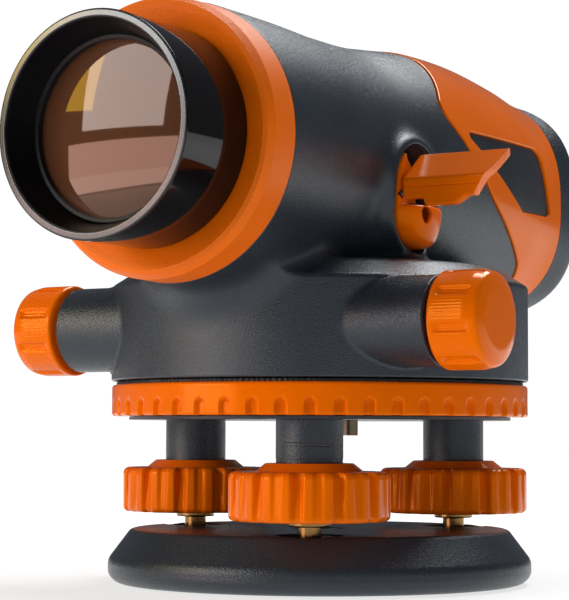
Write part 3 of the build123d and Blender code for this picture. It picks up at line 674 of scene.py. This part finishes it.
def foot_knobs():
    """Fluted knobs on the foot screws: deep flutes with a shallow one between each two."""
    box_low, box_high = low("foot_knob_1"), high("foot_knob_1")
    radius = (box_high[0] - box_low[0]) / 2
    under, collar = box_low[2], box_high[2]
    top, bore_floor = collar - 2.0, collar - 8.3
    section = rounded(
        [(5.4, under), (radius, under), (radius, top), (13.4, top), (10.9, collar), (8.6, collar),
         (8.6, bore_floor), (5.4, bore_floor)],
        (0.3, 1.3, 1.7, 0.6, 0.4, 0.2, 0.2, 0.2),
    )
    section = dense(supported(section), 1.5)

    def relief(angle, r, z):
        rim = ramp(r, radius - 5.5, radius - 2)
        rise = ramp(z, under, top)
        deep = flute(angle, 22, 12, 6) * (0.9 + 1.2 * rise)
        shallow = flute(angle, 7, 12, 5) * (0.25 + 0.4 * rise)
        return rim * (deep + shallow)

    for number, (x, y, _z) in enumerate(FEET, 1):
        lathe(f"levelling_knob_{number}", section, 360, relief, standing(x, y), f"foot_{number}",
              "orange_plastic", [f"foot_knob_{number}"])


def grip_knob(name, node, body, length, count, first, side):
    """Knob on an axle along X: grooved barrel, plain band at its inner end, domed outer end."""
    radius = (high(node)[2] - low(node)[2]) / 2
    _x, y, z = middle(node)
    inner = low(node)[0] if side > 0 else high(node)[0]
    neck, bore, face = 1.0, 3.0, 2.2
    section = rounded(
        [(bore, 0), (radius - 2.6, 0), (radius - 2.6, neck), (radius, neck), (radius, length * 0.72),
         (radius - 0.7, length * 0.93), (radius - 4, length), (0.06, length), (0.02, length),
         (0.02, length - face), (bore, length - face)],
        (0.1, 0.3, 0.3, 0.8, 6, 1.6, 6, 0, 0, 0, 0),
    )
    section = dense(supported(section), 0.7)
    first_cut, last_cut = neck + 1.6, length * 0.76

    def relief(angle, r, h):
        wall = ramp(r, radius - 3.2, radius - 2.0)
        run = ramp(h, first_cut, first_cut + 0.8) * (1 - ramp(h, last_cut - 0.6, last_cut + 1.0))
        ribs = 0.05 * (0.5 + 0.5 * np.cos(angle * count * 12)) * ramp(h, neck + 1, neck + 2)
        ribs *= 1 - ramp(h, last_cut - 1.5, last_cut)
        return wall * (0.8 * flute(angle, first, count, 68 / count) * run + ribs)

    def along_axle(u, v, w):
        return inner + side * w, y + side * u, z + v

    lathe(name, section, 576, relief, along_axle, body, "orange_plastic", [node])


def flap():
    """Mirror flap: angled plate with a crease, a deeper root and a hollowed outer end."""
    box_low, box_high = low("mirror_flap"), high("mirror_flap")
    front, foot, top, crease = box_low[1], box_low[2], box_high[2], box_low[2] + 5
    section = rounded(
        [(front + 0.2, foot), (front + 0.07, foot + 2.7), (front + 0.3, foot + 2.95),
         (front + 0.05, foot + 3.2), (front, crease), (box_high[1] - 1.3, top), (box_high[1], top - 1.6),
         (front + 3.4, crease - 1.2), (front + 3.2, foot)],
        (0.5, 0.1, 0.1, 0.1, 1.2, 0.45, 0.45, 1.0, 0.5),
    )
    section = dense(supported(section, 0.15), 0.8)
    steps = 60
    points = []
    for k in range(steps + 1):
        share = k / steps
        for y, z in section:
            fall = (top - z) / (top - foot)
            end = box_high[0] - 0.02 - 5.4 * fall ** 0.75 + 1.3 * math.sin(math.pi * min(fall * 1.1, 1))
            end = min(end, box_high[0] - 0.02)
            x = box_low[0] + 0.02 + (end - box_low[0]) * share
            drop = 2.0 * float(ramp(x, 42.4, 43.4) * (1 - ramp(x, 50.6, 55.4)))
            points.append((x, y, z - drop * float(ramp(foot + 2.4 - z, 0, 2.4))))
    count = len(section)
    faces = []
    for i in range(steps):
        for j in range(count):
            m = (j + 1) % count
            faces.append((i * count + j, i * count + m, (i + 1) * count + m, (i + 1) * count + j))
    faces += [tuple(range(count - 1, -1, -1)), tuple(steps * count + j for j in range(count))]
    thing = piece("mirror_cover", points, faces, "mirror", "orange_plastic", ["mirror_flap"])
    for index in (-1, -2):
        thing.data.polygons[len(faces) + index].use_smooth = False


HINGE_Y, HINGE_Z = middle("mirror_pin")[1:]
HINGE_R = 1.05
CUP_X = middle("circular_vial")[0]
FACE_R = 12.0  # the bracket's bulged face
FACE_X = high("mirror_bracket")[0] - FACE_R
LUG_X = low("mirror_flap")[0] - 0.9
LUG_Z = high("circular_vial")[2] - 0.6
BACK_X = low("mirror_bracket")[0]
VIAL_LOW = low("circular_vial")[2] - 0.05
VIAL_R = high("circular_vial")[0] - CUP_X + 0.15
WINDOW_TURN = -29  # degrees from +X to the way the window faces


def bracket_form(x, y, z):
    """Oval holder with the vial's cup, the hinge lug and a drop-shaped window."""
    rise = np.maximum(np.abs(z - BRACKET[2]) - BRACKET_ARM, 0)
    face = np.sqrt((x - FACE_X) ** 2 + (y - BRACKET[1]) ** 2 + (0.75 * rise) ** 2) - FACE_R + 0.02
    solid = common(vial_outline(y, z) + 0.02, face, 2.0)
    solid = common(solid, BACK_X - x, 0.6)
    gap = common(common(30.5 - x, -17.5 - y, 0.6), LUG_Z + 1.0 - z, 0.8)
    solid = common(solid, -gap, 0.8)
    lug = common(LUG_X - x, LUG_Z - z, 0.8)
    solid = common(solid, -lug, 1.0)
    cup = np.maximum(np.sqrt((x - CUP_X) ** 2 + (y - BRACKET[1]) ** 2) - VIAL_R, VIAL_LOW - z)
    solid = common(solid, -cup, 0.4)
    out_x, out_y = x - CUP_X, y - BRACKET[1]
    turn = math.radians(WINDOW_TURN)
    ahead = out_x * math.cos(turn) + out_y * math.sin(turn)
    beside = -out_x * math.sin(turn) + out_y * math.cos(turn)
    rise = z - LUG_Z + 2.4
    drop = np.sqrt((beside / (1.5 + 0.22 * np.clip(rise, -2, 2))) ** 2 + (rise / 2.0) ** 2) - 1
    solid = common(solid, -np.maximum(drop * 1.4, 1 - ahead), 0.5)
    pin = np.maximum(np.sqrt((y - HINGE_Y) ** 2 + (z - HINGE_Z) ** 2) - HINGE_R, 30.4 - x)
    return common(solid, -pin, 0.3)


def pocket_form(x, y, z):
    """Walls and floor of the recess that the bracket sits in, under the housing's skin."""
    outer = common(vial_outline(y, z) - 2.9, BACK_X - 2.6 - x, 1.0)
    outer = common(outer, body_form(x, y, z) + 0.7, 0.5)
    inner = np.maximum(vial_outline(y, z) - 0.75, BACK_X - 0.2 - x)
    return common(outer, -inner, 0.5)


BARREL_R = 26.5
SEAT_Y = high("front_ring")[1] - 9.5  # where the barrel steps down into the front ring
SAG = 1.9  # of the lens's front face


def front_lens():
    """Convex front element of the objective."""
    box_low, box_high = low("objective_crown"), high("objective_crown")
    radius, back = box_high[0] - 0.02, box_high[1] - 2.4
    edge = box_low[1] + SAG
    ball = (radius ** 2 + SAG ** 2) / (2 * SAG)
    reach = np.concatenate([[0.01, 0.04], np.linspace(0.5, radius, 40)])
    front = edge - SAG + ball - np.sqrt(ball ** 2 - reach ** 2)
    section = list(zip(reach, front)) + [(radius, back), (0.01, back)]
    lathe("front_lens", np.array(section), 180, plain, along_sight, "alidade", "coated_glass",
          ["objective_crown"])


def objective():
    """Lip, glossy barrel, and the matt hood inside that narrows down to the lens."""
    mouth, seat = low("objective_barrel")[1], high("objective_barrel")[1]
    radius = BARREL_R
    lens_r, lens_y = high("objective_crown")[0], low("objective_retainer")[1]
    lip_in, lip_out = radius - 1.9, radius - 0.25
    lip = rounded(
        [(lip_in, mouth + 0.02), (lip_out, mouth + 0.2), (lip_out, mouth + 0.6), (lip_in, mouth + 0.6)],
        (0.3, 0.3, 0.1, 0.1),
    )
    lathe("objective_lip", dense(supported(lip, 0.08), 2), 240, plain, along_sight, "alidade", "lip_black")
    neck, bore, recess, recess_y = 25.9, 22.5, 23.2, -81
    barrel_skin = rounded(
        [(radius - 2.0, mouth + 0.3), (radius - 0.02, mouth + 0.3), (radius - 0.02, SEAT_Y), (neck, SEAT_Y),
         (neck, seat), (bore, seat), (bore, recess_y), (recess, recess_y), (recess, lens_y + 1)],
        (0.1, 0.3, 0.1, 0.1, 0.3, 0.3, 0.1, 0.1, 0.1),
    )
    lathe("objective_tube", dense(supported(barrel_skin), 2), 240, plain, along_sight, "alidade",
          "gloss_black", ["objective_barrel"])
    hood_out, hood_in = radius - 2.0, lens_r - 0.65
    hood = rounded(
        [(hood_out, mouth + 0.12), (hood_out, mouth + 0.5), (lens_r + 0.9, lens_y), (hood_in, lens_y - 0.1),
         (hood_in, lens_y - 0.35), (lens_r + 0.35, lens_y - 0.45)],
        (0.1, 0.1, 0.1, 0.05, 0.1, 0.3),
    )[::-1]
    lathe("objective_hood", dense(supported(hood, 0.1), 2), 240, plain, along_sight, "alidade", "hood_black")


BASE_R = high("base_plate")[0]
BASE_TOP = high("base_plate")[2]
RIM_TOP = 6  # height at which the base's long bevel starts
HOLLOW = (32.5, 17.5, 8)  # ring-shaped hollow underneath: middle radius, half width and height
THREAD_R = 6.75
BALL_H = 6  # height of the balls' centres
BALL_SEAT_R = 5.3


def base_form(x, y, z):
    """Weighted base: flat top, long bevel, ball seats under three round recesses."""
    out = np.sqrt(x * x + y * y)
    solid = common(z - BASE_TOP, ((out - BASE_R) * 8 + (z - RIM_TOP) * 6) / 10, 0.9)
    solid = common(solid, out - BASE_R, 0.8)
    solid = common(solid, common(-z, ((out - BASE_R) + (2.2 - z)) / 1.414, 1.0), 1.0)
    hollow_r, hollow_half, hollow_top = HOLLOW
    solid = common(solid, -np.maximum(np.abs(out - hollow_r) - hollow_half, z - hollow_top), 0.8)
    solid = common(solid, THREAD_R - out, 0.8)
    for fx, fy, _z in FEET:
        away = np.sqrt((x - fx) ** 2 + (y - fy) ** 2)
        seat = np.sqrt(away ** 2 + (z - BALL_H) ** 2) - BALL_SEAT_R
        solid = np.minimum(solid, np.maximum(away - 8.5, np.maximum(2.2 - z, z - 9)))
        solid = common(solid, -np.maximum(away - 8.3, BASE_TOP - 1.3 - z), 0.6)
        solid = common(solid, -joined(seat, np.maximum(away - 4.6, BALL_H - z), 0.5), 0.3)
        solid = np.maximum(solid, -np.maximum(away - BALL_SEAT_R, z - BALL_H))
    return solid


def circle_parts():
    """Orange grip ring with round-topped notches, and the fine black scale on it."""
    box_low, box_high = low("circle_ring"), high("circle_ring")
    bore, radius = 47.4, box_high[0]
    section = rounded(
        [(bore, box_low[2]), (radius, box_low[2]), (radius, box_high[2]), (bore, box_high[2])],
        (0.2, 0.6, 0.9, 0.2),
    )
    count, first = 48, 5.6

    def notches(angle, r, z):
        step = 360 / count
        off = np.abs((np.degrees(angle) - first + step / 2) % step - step / 2) * math.pi / 180 * radius
        rise = np.maximum(z - box_low[2] - 2.6, 0)
        inside = 1 - ramp(np.sqrt(off ** 2 + rise ** 2), 1.25, 1.5)
        return 1.3 * inside * ramp(r, radius - 1.5, radius - 0.8)

    lathe("circle_grip", dense(supported(section), 0.45), 1440, notches, upright, "circle",
          "orange_plastic", ["circle_ring"])
    scale_low, scale_high = low("circle_scale"), high("circle_scale")
    inside, rim, under, over = 50.6, scale_high[0], scale_low[2], scale_high[2]
    band = rounded([(inside, under), (rim, under), (rim, over), (inside, over)], (0.05,) * 4)

    def ticks(angle, r, z):
        return 0.3 * (np.cos(angle * 240) > 0) * (r > rim - 1)

    lathe("circle_ticks", band, 960, ticks, upright, "circle", "black_anodised", ["circle_scale"])


def boss_face():
    """Thin sleeve on the front boss with an engraved frame."""
    x, y, _z = FEET[0]
    bore, radius, foot, top = 8.1, 8.32, 32.7, 42.4
    section = rounded([(bore, foot), (radius, foot), (radius, top), (bore, top)], (0.05, 0.15, 0.15, 0.05))
    facing = math.radians(-63)

    def frame_line(angle, r, z):
        off = ((angle - facing + math.pi) % (2 * math.pi) - math.pi) * radius
        edge = np.maximum(np.abs(off) - 6.6, np.abs(z - 33.2) - 3.1)
        return 0.34 * (1 - ramp(np.abs(edge), 0.18, 0.42)) * (r > radius - 0.1)

    lathe("boss_sleeve", dense(supported(section), 0.2), 720, frame_line, standing(x, y), "tribrach",
          "grey_coat")


def spindles():
    """Brass foot screws: washer under the knob, bright shank, neck in the ball."""
    for number, (x, y, _z) in enumerate(FEET, 1):
        node = f"foot_screw_{number}"
        foot, top = low(node)[2], high(node)[2]
        washer, seat, shoulder = 16.2, 17.5, 23.2
        section = rounded(
            [(0.02, foot), (2.4, foot), (2.4, 10.0), (2.9, 10.4), (2.9, washer), (5.2, washer), (5.2, seat),
             (4.0, seat), (4.0, shoulder), (3.6, shoulder), (3.6, top), (0.02, top)],
            (0, 0.3, 0.2, 0.2, 0.2, 0.3, 0.3, 0.1, 0.1, 0.1, 0.6, 0),
        )
        lathe(f"spindle_{number}", supported(section, 0.15), 96, plain, standing(x, y), f"foot_{number}",
              "brass", [node])


def mirror_parts():
    """Hinge pin and the glass under the flap's slope, both short of the flap's hollowed end."""
    start = low("mirror_pin")[0]
    reach = 55.6 - start
    section = rounded([(0.02, 0), (1.0, 0), (1.0, reach), (0.02, reach)], (0, 0.2, 0.2, 0))

    def along_hinge(u, v, w):
        return start + w, HINGE_Y + u, HINGE_Z + v

    lathe("hinge_pin", supported(section, 0.1), 48, plain, along_hinge, "alidade", "screw_steel",
          ["mirror_pin"])
    box_low, box_high = low("mirror_glass"), high("mirror_glass")
    rise = np.array([0, box_high[1] - box_low[1] - 0.5, box_high[2] - box_low[2] - 0.7])
    length = np.linalg.norm(rise)
    rise /= length
    out = np.array([0, rise[2], -rise[1]])
    foot = np.array([0, box_low[1], box_low[2] + 0.7])
    side, near, far = box_low[0], 0.2, length - 0.2
    outline = rounded([(side, near), (53.4, near), (57.4, far), (side, far)], (0.8,) * 4)
    count = len(outline)
    points = [
        np.array([x, 0, 0]) + foot + rise * along + out * depth
        for depth in (0, 0.7) for x, along in outline
    ]
    faces = [tuple(range(count - 1, -1, -1)), tuple(range(count, 2 * count))]
    faces += [(i, (i + 1) % count, count + (i + 1) % count, count + i) for i in range(count)]
    glass = piece("mirror_plate", points, faces, "mirror", "mirror", ["mirror_glass"])
    glass.data.polygons.foreach_set("use_smooth", [False] * len(faces))


spindles()
front_lens()
objective()
circle_parts()
boss_face()
cast("base_casting", base_form, [(-BASE_R - 1.5, BASE_R + 1.5)] * 2 + [(-1.5, BASE_TOP + 1.5)],
     0.55, "base", "grey_coat", ["base_plate"])
foot_knobs()
KNOB_LENGTH = high("tangent_knob_right")[0] - KNOB_X
grip_knob("tangent_grip_right", "tangent_knob_right", "tangent", KNOB_LENGTH, 8, 11.5, 1)
grip_knob("tangent_grip_left", "tangent_knob_left", "tangent", KNOB_LENGTH, 8, 21.5, -1)
grip_knob("focus_grip", "focus_knob", "focus_drive", high("focus_knob")[0] - low("focus_knob")[0], 10, 0, -1)
flap()
mirror_parts()
cast(
    "vial_bracket", bracket_form,
    [(a - 1, b + 1) for a, b in zip(low("mirror_bracket"), high("mirror_bracket"))],
    0.36, "alidade", "orange_plastic", ["mirror_bracket"],
)
cast(
    "vial_pocket", pocket_form,
    [(BACK_X - 4, 38), (BRACKET[1] - 14, BRACKET[1] + 14), (BRACKET[2] - 17, BRACKET[2] + 17)],
    0.6, "alidade", "grey_coat",
)


# ---- stage, light and camera --------------------------------------------------------------------
def stage():
    """White paper floor that glows towards its far edges, and an even room."""
    bpy.ops.mesh.primitive_plane_add(size=12, location=(0, 0, -0.0004))
    floor = bpy.context.object
    floor.name = "floor"
    paper = bpy.data.materials.new("paper")
    paper.use_nodes = True
    nodes, links = paper.node_tree.nodes, paper.node_tree.links
    shader = nodes["Principled BSDF"]
    shader.inputs["Base Color"].default_value = (0.25, 0.25, 0.25, 1)
    shader.inputs["Roughness"].default_value = 0.8
    shader.inputs["Emission Color"].default_value = (1, 1, 1, 1)
    place = nodes.new("ShaderNodeTexCoord")
    away = nodes.new("ShaderNodeVectorMath")
    away.operation = "LENGTH"
    links.new(place.outputs["Object"], away.inputs[0])
    glow = nodes.new("ShaderNodeMapRange")
    glow.interpolation_type = "SMOOTHSTEP"
    glow.inputs["From Min"].default_value = 0.05
    glow.inputs["From Max"].default_value = 0.5
    glow.inputs["To Min"].default_value = 0.72
    glow.inputs["To Max"].default_value = 1.0
    links.new(away.outputs["Value"], glow.inputs["Value"])
    links.new(glow.outputs["Result"], shader.inputs["Emission Strength"])
    floor.data.materials.append(paper)
    world = bpy.data.worlds.new("studio")
    bpy.context.scene.world = world
    world.use_nodes = True
    nodes, links = world.node_tree.nodes, world.node_tree.links
    seen = nodes.new("ShaderNodeLightPath")
    mix = nodes.new("ShaderNodeMix")
    mix.data_type = "RGBA"
    mix.inputs["A"].default_value = (0.095, 0.105, 0.12, 1)
    mix.inputs["B"].default_value = (1.05, 1.05, 1.05, 1)
    links.new(seen.outputs["Is Camera Ray"], mix.inputs["Factor"])
    links.new(mix.outputs["Result"], nodes["Background"].inputs["Color"])


def softbox(name, place, aim, width, height, power, colour=(1, 1, 1)):
    """Rectangular lamp at place that faces aim, in metres and watts."""
    data = bpy.data.lights.new(name, "AREA")
    data.shape = "RECTANGLE"
    data.size, data.size_y = width, height
    data.energy = power
    data.color = colour
    lamp = bpy.data.objects.new(name, data)
    bpy.context.scene.collection.objects.link(lamp)
    back = np.array(place, float) - np.array(aim, float)
    back /= np.linalg.norm(back)
    side = np.cross((0, 0, 1), back)
    side /= np.linalg.norm(side)
    up = np.cross(back, side)
    lamp.matrix_world = Matrix([[side[i], up[i], back[i], place[i]] for i in range(3)] + [[0, 0, 0, 1]])


def tone():
    """Plain transfer of light to the picture, as a product photo has."""
    bpy.context.scene.view_settings.view_transform = "Standard"


def camera():
    """Long lens in front and to the right, low and tipped slightly up."""
    data = bpy.data.cameras.new("camera")
    data.sensor_fit = "VERTICAL"
    data.sensor_height = 36
    data.lens = 124.45
    eye = bpy.data.objects.new("camera", data)
    bpy.context.scene.collection.objects.link(eye)
    around, distance, height = math.radians(30.414), 0.55258, 0.03896
    yaw, pitch, roll = math.radians(0.975), math.radians(3.683), math.radians(0.178)
    turn = Matrix.Rotation(around + yaw, 4, "Z") @ Matrix.Rotation(math.pi / 2 + pitch, 4, "X")
    place = Matrix.Translation((distance * math.sin(around), -distance * math.cos(around), height))
    eye.matrix_world = place @ turn @ Matrix.Rotation(roll, 4, "Z")
    bpy.context.scene.camera = eye


CENTRE = (0, 0, 0.09)  # what the lamps face, in metres
stage()
softbox("key", (-0.62, -1.05, 0.5), CENTRE, 0.52, 0.45, 5)
softbox("top", (0.05, 0.6, 1.1), CENTRE, 0.7, 0.6, 15)
softbox("front", (-0.64, -1.1, 0.12), CENTRE, 0.72, 0.22, 2.8, (1.0, 0.68, 0.6))
softbox("accent", (-0.95, -0.88, 0.57), CENTRE, 0.36, 0.38, 2.4, (1.0, 0.66, 0.04))
softbox("strip_low", (1.0, -0.55, 0.44), CENTRE, 0.5, 0.016, 0.05)
softbox("strip_high", (1.0, -0.55, 0.52), CENTRE, 0.5, 0.016, 0.05)
camera()
tone()
